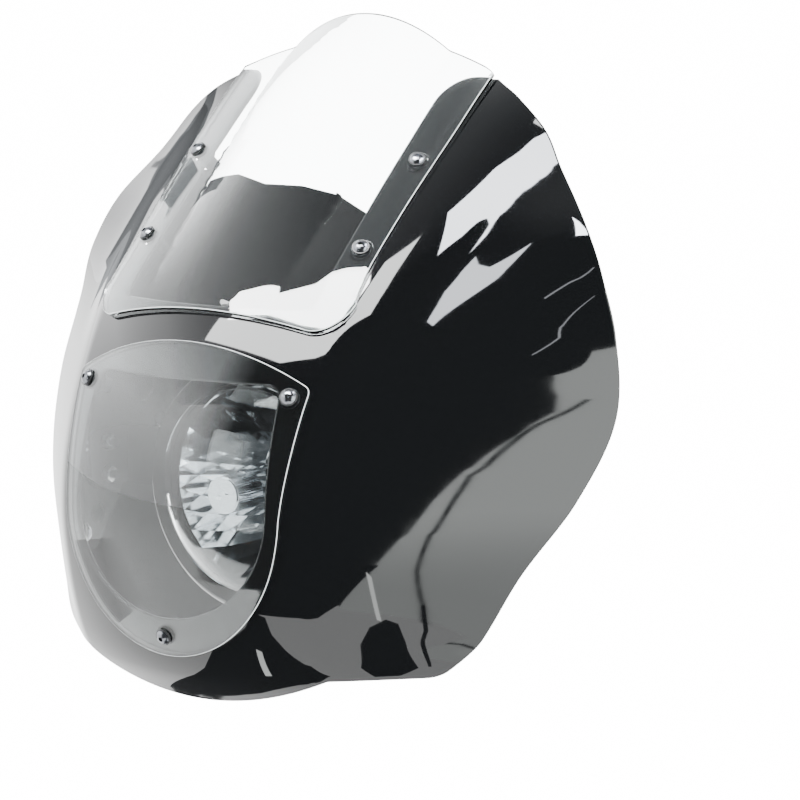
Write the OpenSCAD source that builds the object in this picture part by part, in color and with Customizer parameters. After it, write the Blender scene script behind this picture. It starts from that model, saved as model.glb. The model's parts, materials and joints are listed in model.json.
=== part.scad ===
// Headlight cowl for a motorcycle with raked fork tubes.
// A moulded shell carries a clear screen and a clear lamp window. Two bent steel brackets
// hold it on the fork tubes, and the round lamp hangs between them on two ears.
// The front of the object faces -Y, and Z is up. The origin lies midway between the
// fork tubes, level with the centre of the lamp.

/* [Shell] */
// Thickness of the moulded wall
shell_wall = 3; // [2.5:0.5:4]
// Overall width over the flanks at the widest height
shell_w = 448; // [436:2:460]
// Width over the shoulders, level with the foot of the screen
shoulder_w = 410; // [400:2:420]
// Width over the upper ends of the two arms
arm_top_w = 203; // [201:1:206]
// Width over the lower rear corners
heel_w = 288; // [280:2:294]
// Radius of the lower rear corners
heel_corner_r = 18; // [8:1:24]
// Height of the arm ends above the lamp axis
arm_top_z = 260; // [256:1:262]
// Depth of the lower rear corners below the lamp axis
heel_z = 105; // [102:1:108]
// How far the chin dips below the lower rear corners
chin_dip = 22; // [18:1:26]
// Distance of the nose in front of the fork plane
nose_y = 229.5; // [226:0.5:236]
// Distance of the chin in front of the fork plane
chin_y = 186; // [180:1:192]
// Half width of the front face, from the centre to the knee where the flank begins
knee_x = 90; // [88:1:92]
// How far the front face falls back between its centre and the knee
crown_depth = 22.7; // [20:0.1:24]
// Rearward run of the flank for each millimetre of width
flank_slope = 1.05; // [1:0.01:1.1]
// Height of the raised shoulder that runs down beside the screen
shoulder_rise = 16; // [12:1:20]

/* [Lamp window] */
// Thickness of the clear window plate
window_t = 3; // [2:0.5:4]
// Width of the window plate at its upper corners
window_top_w = 176; // [172:1:180]
// Width of the window plate level with the lamp axis
window_mid_w = 163; // [158:1:166]
// Height of the upper corners above the lamp axis
window_corner_z = 77; // [74:1:80]
// Rise of the top arc above the upper corners
window_arc_h = 24; // [20:1:26]
// Depth of the lower edge below the lamp axis
window_low_z = 91.5; // [90:0.5:95]
// Width of the opening in the shell behind the plate
opening_w = 145; // [138:1:147]
// Height of the top of the opening above the lamp axis
opening_top_z = 80; // [76:1:82]
// Depth of the foot of the opening below the lamp axis
opening_low_z = 68.5; // [64:0.5:70]
// Distance of the upper window screws inside the upper corners of the plate
window_screw_inset = 11; // [9:0.5:12]
// Distance of the upper window screws below those corners
window_screw_drop = 5; // [3:0.5:7]
// Distance of the lower window screw above the lower edge of the plate
window_screw_low_inset = 13; // [11:0.5:14]

/* [Screen] */
// Thickness of the clear screen
screen_t = 3; // [2:0.5:4]
// Width of the screen at the upper ends of its side flanges
screen_top_w = 200; // [196:1:202]
// Width of the screen halfway down
screen_mid_w = 188; // [184:1:190]
// Width of the screen at its lower corners
screen_low_w = 193; // [188:1:194]
// Height of the lower corners above the lamp axis
screen_corner_z = 104; // [103:1:107]
// Rise of the lower edge in the middle
screen_foot_rise = 15; // [12:1:16]
// Radius of the lower corners
screen_corner_r = 18; // [10:1:22]
// Height of the blown bubble above the side flanges, at the top
bubble_h = 18; // [10:1:24]
// Width of the bubble at the top edge
bubble_w = 124; // [110:2:130]
// Width of the gap between the two arms of the shell
arm_gap = 146; // [142:1:148]
// Height of the foot of that gap above the lamp axis
arm_gap_low_z = 123; // [122:0.5:126]
// Radius of the inner corner at the top of each arm
arm_tip_r = 15; // [8:1:18]
// Distance of the screen screws inside the side edges of the screen
screen_screw_inset = 11; // [10.5:0.5:14]
// Height of the upper screen screws above the lamp axis
screen_screw_high_z = 207.5; // [202:0.5:210]
// Height of the lower screen screws above the lamp axis
screen_screw_low_z = 156.5; // [152:0.5:160]

/* [Small fasteners] */
// Thread diameter of the button head screws in the screen and the window
panel_screw_d = 5; // [4:1:5]
// Head diameter of those screws
panel_head_d = 9.5; // [9:0.5:11]
// Thickness of the nylon washer under each head
panel_washer_t = 1; // [0.8:0.1:1.5]
// Thickness of the rubber flange that spaces a panel off the shell
rubber_flange_t = 1; // [0.75:0.25:2]
// Thread diameter of the screws in the moulded bosses
boss_screw_d = 6; // [5:1:6]
// Thread diameter of the clamp bolts
clamp_bolt_d = 6; // [5:1:8]
// Thread diameter of the two bolts that hold the lamp
lamp_bolt_d = 8; // [6:1:8]

/* [Fork clamps] */
// Diameter of the fork tubes
fork_d = 49; // [47:0.5:50]
// Distance between the centres of the fork tubes
fork_gap = 220; // [216:1:224]
// Lean of the fork tubes from upright, in degrees
rake = 30; // [28:0.5:32]
// Wall of the clamp barrel
clamp_wall = 7; // [5:0.5:8]
// Height of each clamp along the fork
clamp_h = 20; // [16:1:24]
// Distance along the fork between the two clamps of a side
clamp_spacing = 70; // [64:1:76]

/* [Side brackets] */
// Thickness of the bracket steel
bracket_t = 3; // [2.5:0.5:4]
// Inside radius of the bends
bend_r = 4; // [3:0.5:6]
// Distance of the front bend in front of the fork plane
bracket_bend_y = 109; // [106:1:112]
// Length of the front flange along the flank
flange_len = 36; // [34:1:40]
// Diameter of the moulded bosses
boss_d = 16; // [14:1:18]
// Height of the upper boss above the lamp axis
boss_high_z = 15; // [10:1:18]
// Depth of the lower boss below the lamp axis
boss_low_z = 45; // [40:1:48]

/* [Lamp] */
// Width of the rim that the bucket carries round the lens
rim_lap = 6; // [5:0.5:7]
// Thickness of the bucket steel
bucket_t = 1.5; // [1:0.25:2]
// Depth of the bucket from its rim to its back
bucket_depth = 92; // [86:1:96]
// Distance of the bucket rim in front of the fork plane
bucket_rim_y = 122; // [118:1:126]
// Diameter of the lens
lens_d = 146; // [140:1:152]
// Thickness of the lens
lens_t = 3; // [2.5:0.5:4]
// Height of the lens dome
lens_dome = 36; // [30:1:38]
// Number of columns of facets round the reflector
facet_columns = 28; // [20:2:36]
// Diameter of the cap in front of the bulb
cap_d = 24; // [20:1:28]
// Distance of the two lamp bolts in front of the fork plane
lamp_bolt_y = 88; // [84:1:92]

/* [Hidden] */

black = [0.03, 0.03, 0.035];
clear = [0.8, 0.86, 0.88, 0.35];
steel = [0.62, 0.63, 0.65];
dark_steel = [0.12, 0.12, 0.13];
rubber_black = [0.06, 0.06, 0.06];
nylon = [0.08, 0.08, 0.09];
brass = [0.78, 0.62, 0.3];
bright = [0.85, 0.86, 0.88];

// Clearance between metal parts that are screwed flat together
seat = 0.1;
// Clearance between a formed panel and the flat faces that touch it
panel_seat = 0.35;
// Radial clearance of a thread in its nut
thread_fit = 0.08;
// Radial clearance of a screw in a plain hole
hole_fit = 0.35;
// Crown of the front face, for the parabola x * x * crown
crown = crown_depth / knee_x ^ 2;
// Length over which the face turns into the flank
knee_soft = 8;
// Distance from the knee to the steepest part of the shoulder, and its half length
shoulder_at = 38;
shoulder_soft = 25;

// Centre line of the shell: height, and depth behind the fork plane
profile = [[-heel_z - chin_dip, -chin_y], [-106, -nose_y + 24.5], [-80, -nose_y + 12.5],
    [-44, -nose_y + 3.5], [-10, -nose_y], [28, -nose_y + 5], [75, -nose_y + 21.5],
    [121, -nose_y + 50], [173, -nose_y + 103.5], [215, -nose_y + 151.5], [259, -nose_y + 206.5],
    [300, -nose_y + 275]];
// Rear edge: height and half width
edge = [[-heel_z - 3, heel_w / 2], [-92, heel_w / 2 + 16], [-81, heel_w / 2 + 24],
    [-43, heel_w / 2 + 42],
    [3, shell_w / 2 - 13], [53, shell_w / 2], [104, shell_w / 2 - 8], [141, shoulder_w / 2],
    [173, shoulder_w / 2 - 17], [206, shoulder_w / 2 - 44], [230, arm_top_w / 2 + 42],
    [249, arm_top_w / 2 + 20],
    [arm_top_z, arm_top_w / 2]];
// Mean rearward slope of the flank at each height
flank = [[-130, flank_slope - 0.15], [-104, flank_slope - 0.15], [-81, flank_slope - 0.05],
    [-43, flank_slope], [53, flank_slope + 0.02], [104, flank_slope - 0.01],
    [141, flank_slope - 0.17], [173, flank_slope - 0.3], [206, flank_slope - 0.33],
    [230, flank_slope - 0.48], [arm_top_z, flank_slope - 0.85]];
// Height of the raised shoulder at each height
shoulder = [[-130, 0], [80, 0], [110, 0.6 * shoulder_rise], [141, shoulder_rise],
    [206, shoulder_rise], [240, 0.4 * shoulder_rise], [arm_top_z, 0]];

// Smooth curve through a list of points, read at x
function span_of(pts, x, i = 0) = i >= len(pts) - 2 || x < pts[i + 1][0] ? i : span_of(pts, x, i + 1);
function chord(pts, a, b) = (pts[b][1] - pts[a][1]) / (pts[b][0] - pts[a][0]);
function slope_at(pts, i) = chord(pts, max(i - 1, 0), min(i + 1, len(pts) - 1));
function curve(pts, x) = let (
    i = span_of(pts, x),
    w = pts[i + 1][0] - pts[i][0],
    t = (x - pts[i][0]) / w,
    a = pts[i][1],
    b = pts[i + 1][1],
    m = slope_at(pts, i) * w,
    n = slope_at(pts, i + 1) * w
) a + t * m + t * t * (3 * (b - a) - 2 * m - n) + t * t * t * (2 * (a - b) + m + n);
function step(x) = 1 / (1 + exp(-2 * x));

// Depth of the shell's outer skin at width x and height z
function edge_x(z) = curve(edge, min(z, arm_top_z));
function face_y(x, z) = let (
    out = abs(x),
    zf = min(z, arm_top_z),
    reach = edge_x(z) - knee_x,
    run = max(out - knee_x, 0),
    start = 2 * crown * knee_x,
    soft = knee_soft * (1 - exp(-reach / knee_soft)),
    end = start + (curve(flank, zf) - start) * reach / (reach - soft),
    straight = start * run + (end - start) * (run - knee_soft * (1 - exp(-run / knee_soft))),
    low = step(-shoulder_at / shoulder_soft),
    high = step((reach - shoulder_at) / shoulder_soft),
    part = (step((run - shoulder_at) / shoulder_soft) - low) / (high - low)
) curve(profile, z) + crown * min(out, knee_x) ^ 2 + straight
    + curve(shoulder, zf) * (part - run / reach);
function normal_at(x, z) = let (
    d = 0.5,
    gx = (face_y(x + d, z) - face_y(x - d, z)) / (2 * d),
    gz = (face_y(x, z + d) - face_y(x, z - d)) / (2 * d),
    n = [gx, -1, gz]
) n / norm(n);
function skin(x, z, off) = [x, face_y(x, z), z] + off * normal_at(x, z);
// Distance from a point to the outer skin along a direction, by halving
function reach_skin(p, d, a = 0, b = 80, k = 22) = k == 0 ? a : let (
    m = (a + b) / 2,
    q = p + m * d
) q[1] > face_y(q[0], q[2]) ? reach_skin(p, d, m, b, k - 1) : reach_skin(p, d, a, m, k - 1);

// Closed sheet between two grids of points, rows of equal length
function sheet_faces(rows, cols) = let (
    n = (rows + 1) * (cols + 1)
) concat(
    [for (j = [0:rows - 1]) for (i = [0:cols - 1]) let (a = j * (cols + 1) + i, b = a + cols + 1)
        each [[a, b, b + 1], [a, b + 1, a + 1], [a + n, b + 1 + n, b + n], [a + n, a + 1 + n, b + 1 + n]]],
    [for (i = [0:cols - 1]) let (t = rows * (cols + 1) + i)
        each [[i, i + 1, i + 1 + n], [i, i + 1 + n, i + n], [t, t + 1 + n, t + 1], [t, t + n, t + 1 + n]]],
    [for (j = [0:rows - 1]) let (a = j * (cols + 1), b = a + cols + 1, c = a + cols, d = b + cols)
        each [[a, b + n, b], [a, a + n, b + n], [c, d, d + n], [c, d + n, c + n]]]);

// Shell grid: face_cols columns to each knee and flank_cols beyond it
face_cols = 9;
flank_cols = 12;
shell_rows = 30;
shell_cols = 2 * (face_cols + flank_cols);
function shell_row_z(j) = -heel_z + (arm_top_z + heel_z) * j / shell_rows;
function rim_dip(x, z) = chin_dip * max(0, 1 - (x / 95) ^ 2) * max(0, (-40 - z) / (heel_z - 40)) ^ 1.5;
function shell_col_x(i, z) = let (k = i - face_cols - flank_cols, a = abs(k)) sign(k) * (a <= face_cols
    ? knee_x * a / face_cols
    : knee_x + (edge_x(z) - knee_x) * (a - face_cols) / flank_cols);

// Distance of a panel's inner and outer faces from the skin
panel_gap = rubber_flange_t + panel_seat;
function wellnut_places() = concat(screen_places(), window_places());
function screen_places() = [for (s = [-1, 1]) for (z = [screen_screw_high_z, screen_screw_low_z])
    [s * (curve(screen_side, z) - screen_screw_inset), z]];
window_screw_x = window_top_w / 2 - window_screw_inset;
window_screw_z = window_corner_z - window_screw_drop;
function window_places() = [[-window_screw_x, window_screw_z], [window_screw_x, window_screw_z],
    [0, window_screw_low_inset - window_low_z]];

// Fork clamps
bore_r = fork_d / 2 + 0.05;
barrel_r = bore_r + clamp_wall;
split = 2;
clamp_bolt_x = barrel_r + clamp_bolt_d / 2 + 3;
ear_x = clamp_bolt_x + clamp_bolt_d / 2 + 5;
clamp_front = barrel_r + 2.5;
clamp_rear = 12;
clamp_places = [0, clamp_spacing];

// Side brackets
pad_y = -clamp_front - seat;
web_out = ear_x + 2.5;
web_x = fork_gap / 2 + web_out;
pad_low = -clamp_h / 2 - 2;
pad_high = clamp_spacing + clamp_h / 2 + 2;
flange_turn = 90 - atan(flank_slope);
flange_dir = [-sin(flange_turn), -cos(flange_turn), 0];
boss_dir = [cos(flange_turn), -sin(flange_turn), 0];
bend_mid = bend_r + bracket_t;
pad_bend_y = pad_y - bend_mid;
flange_start = [web_x + bracket_t - bend_mid + bend_mid * cos(flange_turn),
    -bracket_bend_y - bend_mid * sin(flange_turn), 0];
boss_along = 20;
boss_places = [for (z = [boss_high_z, -boss_low_z])
    flange_start + boss_along * flange_dir + seat * boss_dir + [0, 0, z]];

// Bosses in the shell
insert_r = boss_screw_d / 2 + 1.2;
insert_len = 9;

// Lamp, measured along its own axis forward of the fork plane
rim_f = bucket_rim_y;
back_f = bucket_rim_y - bucket_depth;
lens_r = lens_d / 2;
lens_f = rim_f + 7;
bucket_r = lens_r + rim_lap;
lens_sphere_r = (lens_r ^ 2 + lens_dome ^ 2) / (2 * lens_dome);
ear_inner_x = bucket_r + 3.5;
ear_h = 40;

module both() {
    children();
    mirror([1, 0, 0]) children();
}
// Length of a cut that runs past everything
past = 400;
module front() {
    translate([0, past / 4, 0]) rotate([90, 0, 0]) linear_extrude(past) children();
}
module on_skin(x, z) {
    n = normal_at(x, z);
    translate([x, face_y(x, z), z]) rotate([0, acos(n[2]), atan2(n[1], n[0])]) children();
}
module on_fork() {
    translate([fork_gap / 2, 0, 0]) rotate([-rake, 0, 0]) children();
}
module at_boss(p) {
    translate(p) rotate([0, 0, atan2(boss_dir[1], boss_dir[0])]) rotate([0, 90, 0]) children();
}
module lamp_axis() {
    rotate([90, 0, 0]) children();
}

// Fasteners, each with the plane under its head at z = 0 and its shank below
module hex(af, h) {
    cylinder(r = af / sqrt(3), h = h, $fn = 6);
}
module button_screw(d, head_d, len) {
    head_h = 0.55 * d;
    difference() {
        union() {
            translate([0, 0, -len]) cylinder(d = d - 0.1, h = len + 0.1, $fn = 32);
            rotate_extrude($fn = 48) intersection() {
                translate([0, head_h - head_d * 0.62]) circle(r = head_d * 0.62, $fn = 64);
                square([head_d / 2, head_h]);
            }
        }
        translate([0, 0, head_h - 0.35 * d]) hex(0.6 * d, d);
    }
}
module cap_bolt(d, len) {
    difference() {
        union() {
            translate([0, 0, -len]) cylinder(d = d - 0.1, h = len + 0.1, $fn = 32);
            cylinder(d = 1.5 * d, h = d, $fn = 48);
        }
        translate([0, 0, 0.5 * d]) hex(0.8 * d, d);
    }
}
module nut(d) {
    difference() {
        hex(1.65 * d, 0.8 * d);
        translate([0, 0, -1]) cylinder(r = d / 2 + thread_fit, h = d + 2, $fn = 32);
    }
}
module washer(inner_r, outer_r, t) {
    difference() {
        cylinder(r = outer_r, h = t, $fn = 48);
        translate([0, 0, -1]) cylinder(r = inner_r, h = t + 2, $fn = 32);
    }
}

// Outlines in the front view
module window_outline(mid_w, top_w, corner_z, arc_h, low_z, round_r) {
    a = mid_w / 2;
    c = top_w / 2;
    arc_r = (c ^ 2 + arc_h ^ 2) / (2 * arc_h);
    half = asin(c / arc_r);
    offset(r = round_r) offset(delta = -round_r) polygon(concat(
        [for (t = [180:7.5:360]) [a * cos(t), low_z * sin(t)]],
        [for (t = [half:-half / 8:-half]) [arc_r * sin(t), corner_z + arc_h - arc_r * (1 - cos(t))]]));
}
module window_opening() {
    window_outline(opening_w, opening_w - 5, opening_top_z - 0.5, 0.5, opening_low_z, 9);
}
module arm_cut() {
    offset(r = -arm_tip_r) offset(delta = arm_tip_r) union() {
        translate([-arm_gap / 2, arm_gap_low_z]) square([arm_gap, past]);
        translate([-past, arm_top_z - 0.5]) square([2 * past, past]);
    }
}

// Rounds the lower rear corner, from a little outside its two edges
module heel_cut() {
    shy = 0.1;
    rows = [for (j = [0:6]) shell_row_z(j)];
    difference() {
        translate([knee_x + 20, -heel_z - 10]) square([100, 70]);
        offset(r = heel_corner_r) offset(delta = shy - heel_corner_r)
            polygon(concat([[0, -heel_z]], [for (z = rows) [edge_x(z), z]], [[0, rows[6]]]));
        translate([edge_x(rows[3]) - 20, rows[3]]) square([100, 100]);
    }
}

module shell() {
    color(black) difference() {
        union() {
            polyhedron([for (off = [0, -shell_wall]) for (j = [0:shell_rows]) for (i = [0:shell_cols])
                let (z = shell_row_z(j), x = shell_col_x(i, z)) skin(x, z - rim_dip(x, z), off)],
                sheet_faces(shell_rows, shell_cols));
            both() for (p = boss_places) at_boss(p) cylinder(
                d = boss_d, h = reach_skin(p, boss_dir) - shell_wall / 2, $fn = 48);
        }
        front() window_opening();
        front() arm_cut();
        both() front() heel_cut();
        for (p = wellnut_places()) on_skin(p[0], p[1])
            translate([0, 0, -15]) cylinder(r = sleeve_r + 0.15, h = 30, $fn = 32);
        both() for (p = boss_places) at_boss(p)
            translate([0, 0, -1]) cylinder(r = insert_r + 0.05, h = insert_len + 2, $fn = 32);
    }
}
module flank_inserts() {
    color(brass) both() for (p = boss_places) at_boss(p) translate([0, 0, 0.2])
        washer(boss_screw_d / 2 + thread_fit, insert_r, insert_len);
}

// Clear panels, trimmed from formed sheet
module window() {
    rows = 18;
    cols = 18;
    half = window_top_w / 2 + 4;
    low = -window_low_z - 6;
    high = window_corner_z + window_arc_h + 6;
    color(clear) difference() {
        intersection() {
            polyhedron([for (off = [panel_gap + window_t, panel_gap]) for (j = [0:rows]) for (i = [0:cols])
                skin(-half + 2 * half * i / cols, low + (high - low) * j / rows, off)],
                sheet_faces(rows, cols));
            front() window_outline(window_mid_w, window_top_w, window_corner_z, window_arc_h, window_low_z, 6);
        }
        for (p = window_places()) on_skin(p[0], p[1])
            translate([0, 0, -5]) cylinder(r = panel_screw_d / 2 + hole_fit, h = 20, $fn = 32);
    }
}
screen_side = [[screen_corner_z - 10, screen_low_w / 2 + 1], [screen_corner_z + 6, screen_low_w / 2],
    [150, screen_mid_w / 2], [arm_top_z - 30, screen_top_w / 2 - 1.5], [arm_top_z, screen_top_w / 2],
    [arm_top_z + 60, screen_top_w / 2 + 3]];
module screen_outline() {
    low = screen_corner_z - 8;
    foot_r = ((screen_low_w / 2) ^ 2 + screen_foot_rise ^ 2) / (2 * screen_foot_rise);
    offset(r = screen_corner_r) offset(delta = -screen_corner_r) difference() {
        polygon(concat([for (t = [0:0.05:1]) let (z = low + (arm_top_z + 70 - low) * t) [curve(screen_side, z), z]],
            [for (t = [1:-0.05:0]) let (z = low + (arm_top_z + 70 - low) * t) [-curve(screen_side, z), z]]));
        translate([0, screen_corner_z + screen_foot_rise - foot_r]) circle(r = foot_r, $fn = 180);
    }
}
function bubble(x, z) = let (
    up = min(max((z - arm_gap_low_z) / (arm_top_z + 21 - arm_gap_low_z), 0), 1),
    half = bubble_w / 2 - 14 * (1 - up),
    in = max(0, 1 - (x / half) ^ 2)
) bubble_h * up * in;
module screen() {
    rows = 26;
    cols = 28;
    half = screen_top_w / 2 + 4;
    low = screen_corner_z - 6;
    color(clear) difference() {
        intersection() {
            polyhedron([for (off = [panel_gap + screen_t, panel_gap]) for (j = [0:rows]) for (i = [0:cols])
                let (x = -half + 2 * half * i / cols,
                    top = arm_top_z + 21 - 23 * (x / half) ^ 2,
                    z = low + (top - low) * j / rows)
                skin(x, z, off + bubble(x, z))], sheet_faces(rows, cols));
            front() screen_outline();
        }
        for (p = screen_places()) on_skin(p[0], p[1])
            translate([0, 0, -5]) cylinder(r = panel_screw_d / 2 + hole_fit, h = 20, $fn = 32);
    }
}

// Well nuts: a rubber sleeve whose flange spaces the panel off the shell, with a brass nut
sleeve_r = panel_screw_d / 2 + 2.25;
sleeve_len = 13;
insert_from = 7.5;
module wellnut() {
    r = sleeve_r;
    bulge = shell_wall + panel_seat + 0.1;
    rotate_extrude($fn = 48) difference() {
        union() {
            translate([0, panel_seat / 4]) square([r + 1.75, rubber_flange_t]);
            translate([0, -sleeve_len]) square([r, sleeve_len + 0.5]);
            translate([0, -bulge - 4]) square([r + 0.8, 3.2]);
            translate([r + 0.8, -bulge - 2.4]) circle(r = 1.6, $fn = 24);
        }
        translate([-10, -20]) square([10, 40]);
        translate([0, -20]) square([panel_screw_d / 2 + 0.1, 40]);
        translate([0, -sleeve_len - 1]) square([r - 1.1, sleeve_len + 1 - insert_from]);
    }
}
module screen_wellnuts() {
    color(rubber_black) for (p = screen_places()) on_skin(p[0], p[1]) wellnut();
}
module window_wellnuts() {
    color(rubber_black) for (p = window_places()) on_skin(p[0], p[1]) wellnut();
}
module wellnut_inserts() {
    color(brass) for (p = wellnut_places()) on_skin(p[0], p[1]) translate([0, 0, -sleeve_len])
        washer(panel_screw_d / 2 + thread_fit, sleeve_r - 1.2, sleeve_len - insert_from - 0.1);
}
module panel_screws(places, panel_t) {
    for (p = places) on_skin(p[0], p[1])
        translate([0, 0, panel_gap + panel_t + seat + panel_washer_t + seat])
            button_screw(panel_screw_d, panel_head_d, 19);
}
module panel_washers(places, panel_t) {
    for (p = places) on_skin(p[0], p[1]) translate([0, 0, panel_gap + panel_t + seat])
        washer(panel_screw_d / 2 + 0.2, panel_head_d / 2 + 0.75, panel_washer_t);
}
module screen_screws() {
    color(dark_steel) panel_screws(screen_places(), screen_t);
}
module screen_washers() {
    color(nylon) panel_washers(screen_places(), screen_t);
}
module window_screws() {
    color(dark_steel) panel_screws(window_places(), window_t);
}
module window_washers() {
    color(nylon) panel_washers(window_places(), window_t);
}

// Two-piece fork clamps, drawn across the fork tube
module clamp_half(deep, thick) {
    linear_extrude(clamp_h, center = true) difference() {
        union() {
            circle(r = barrel_r, $fn = 96);
            for (s = [-1, 1]) translate([s * (bore_r + ear_x) / 2 - (ear_x - bore_r) / 2, -deep])
                square([ear_x - bore_r, deep + thick]);
        }
        circle(r = bore_r, $fn = 96);
        translate([-100, -split / 2]) square([200, 100]);
    }
}
module clamp_bores() {
    for (s = [-1, 1]) translate([s * clamp_bolt_x, 0, 0]) rotate([90, 0, 0])
        cylinder(r = clamp_bolt_d / 2 + hole_fit, h = 200, center = true, $fn = 32);
}
module clamp_front_halves() {
    color(steel) both() on_fork() for (s = clamp_places) translate([0, 0, s]) difference() {
        clamp_half(clamp_front, 0);
        clamp_bores();
    }
}
module clamp_rear_halves() {
    color(steel) both() on_fork() for (s = clamp_places) translate([0, 0, s]) rotate([0, 0, 180])
        difference() {
            clamp_half(clamp_rear, 0);
            clamp_bores();
        }
}
module clamp_spots(y) {
    both() on_fork() for (s = clamp_places) for (t = [-1, 1])
        translate([t * clamp_bolt_x, y, s]) rotate([90, 0, 0]) children();
}
clamp_stack = clamp_front + seat + bracket_t;
module clamp_bolts() {
    color(dark_steel) clamp_spots(-clamp_stack - 2 * seat - 1.6)
        cap_bolt(clamp_bolt_d, clamp_stack + 2 * seat + 1.6 + clamp_rear + 0.8 * clamp_bolt_d + 2);
}
module clamp_washers() {
    color(steel) clamp_spots(-clamp_stack - seat) washer(clamp_bolt_d / 2 + hole_fit, clamp_bolt_d, 1.6);
}
module clamp_nuts() {
    color(steel) clamp_spots(clamp_rear + seat + 0.8 * clamp_bolt_d) nut(clamp_bolt_d);
}

// Side bracket: a raked pad on the clamps, a web, and a flange along the flank
module bracket_web_outline() {
    function raked(y, s) = [y * cos(rake) + s * sin(rake), s * cos(rake) - y * sin(rake)];
    offset(r = 8) offset(delta = -8) polygon([raked(pad_bend_y - 2, pad_low + 2),
        raked(pad_bend_y - 2, pad_high - 2), [-62, 66], [-170, 34], [-170, -62], [-96, -62]]);
}
module bracket_pad_plan() {
    centre = [web_out - bend_r, pad_bend_y];
    polygon(concat(
        [[-ear_x, pad_y], for (t = [90:-15:0]) centre + bend_mid * [cos(t), sin(t)],
            [web_out + bracket_t, pad_bend_y - 6], [web_out, pad_bend_y - 6]],
        [for (t = [0:15:90]) centre + bend_r * [cos(t), sin(t)], [-ear_x, pad_y - bracket_t]]));
}
module bracket_plan() {
    centre = [web_x - bend_r, -bracket_bend_y];
    start = [flange_start[0], flange_start[1]];
    ahead = flange_len * [flange_dir[0], flange_dir[1]];
    inward = -bracket_t * [boss_dir[0], boss_dir[1]];
    polygon(concat(
        [[web_x + bracket_t, 40], for (k = [0:4]) centre + bend_mid * [cos(flange_turn * k / 4), -sin(flange_turn * k / 4)],
            start + ahead, start + ahead + inward],
        [for (k = [4:-1:0]) centre + bend_r * [cos(flange_turn * k / 4), -sin(flange_turn * k / 4)], [web_x, 40]]));
}
module bracket() {
    difference() {
        union() {
            on_fork() translate([0, 0, pad_low]) linear_extrude(pad_high - pad_low) bracket_pad_plan();
            intersection() {
                translate([0, 0, -100]) linear_extrude(260) bracket_plan();
                rotate([90, 0, 90]) linear_extrude(300) bracket_web_outline();
            }
        }
        on_fork() for (s = clamp_places) translate([0, 0, s]) clamp_bores();
        for (p = boss_places) at_boss(p) translate([0, 0, -30])
            cylinder(r = boss_screw_d / 2 + hole_fit, h = 40, $fn = 32);
        ear_bolt_spots(web_x - 20) cylinder(r = clamp_bolt_d / 2 + hole_fit, h = 40, $fn = 32);
        translate([web_x - 5, -42, 45]) rotate([0, 90, 0]) cylinder(r = 12, h = 20, $fn = 64);
        translate([web_x - 5, -94, -38]) rotate([0, 90, 0]) cylinder(r = 7, h = 20, $fn = 64);
    }
}
module bracket_left() {
    color(dark_steel) bracket();
}
module bracket_right() {
    color(dark_steel) mirror([1, 0, 0]) bracket();
}
module bracket_washers() {
    color(steel) both() for (p = boss_places) at_boss(p) translate([0, 0, -2 * seat - bracket_t - 1.6])
        washer(boss_screw_d / 2 + hole_fit, boss_screw_d, 1.6);
}
module bracket_screws() {
    color(dark_steel) both() for (p = boss_places) at_boss(p)
        translate([0, 0, -3 * seat - bracket_t - 1.6]) rotate([180, 0, 0])
            button_screw(boss_screw_d, 1.75 * boss_screw_d, bracket_t + 10);
}

// Lamp ears: a bent strap from each web to the side of the bucket
ear_back_y = -62;
module ear_bolt_spots(x) {
    for (z = [-11, 11]) translate([x, -lamp_bolt_y, z]) rotate([0, 90, 0]) children();
}
module lamp_ears() {
    outer = web_x - seat;
    color(dark_steel) both() difference() {
        intersection() {
            translate([0, 0, -ear_h / 2]) linear_extrude(ear_h) difference() {
                translate([ear_inner_x, -lamp_bolt_y - 16]) square([outer - ear_inner_x, lamp_bolt_y + 16 + ear_back_y]);
                translate([ear_inner_x + bracket_t, -lamp_bolt_y - 30])
                    square([outer - ear_inner_x - 2 * bracket_t, lamp_bolt_y + 30 + ear_back_y - bracket_t]);
            }
            rotate([90, 0, 90]) linear_extrude(300) offset(r = 8) offset(delta = -8)
                translate([-lamp_bolt_y - 16, -ear_h / 2]) square([60, ear_h]);
        }
        ear_bolt_spots(web_x - 20) cylinder(r = clamp_bolt_d / 2 + hole_fit, h = 40, $fn = 32);
        translate([ear_inner_x - 5, -lamp_bolt_y, 0]) rotate([0, 90, 0])
            cylinder(r = lamp_bolt_d / 2 + hole_fit, h = 20, $fn = 32);
    }
}
module ear_bolts() {
    color(dark_steel) both() ear_bolt_spots(web_x + bracket_t + seat) cap_bolt(clamp_bolt_d, 16);
}
module ear_nuts() {
    color(steel) both() ear_bolt_spots(web_x - 2 * seat - bracket_t - 0.8 * clamp_bolt_d) nut(clamp_bolt_d);
}
module lamp_bolts() {
    color(dark_steel) both() translate([ear_inner_x + bracket_t + 2 * seat + 1.6, -lamp_bolt_y, 0])
        rotate([0, 90, 0]) cap_bolt(lamp_bolt_d, 16);
}
module lamp_washers() {
    color(steel) both() translate([ear_inner_x + bracket_t + seat, -lamp_bolt_y, 0]) rotate([0, 90, 0])
        washer(lamp_bolt_d / 2 + hole_fit, lamp_bolt_d, 1.6);
}

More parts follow.
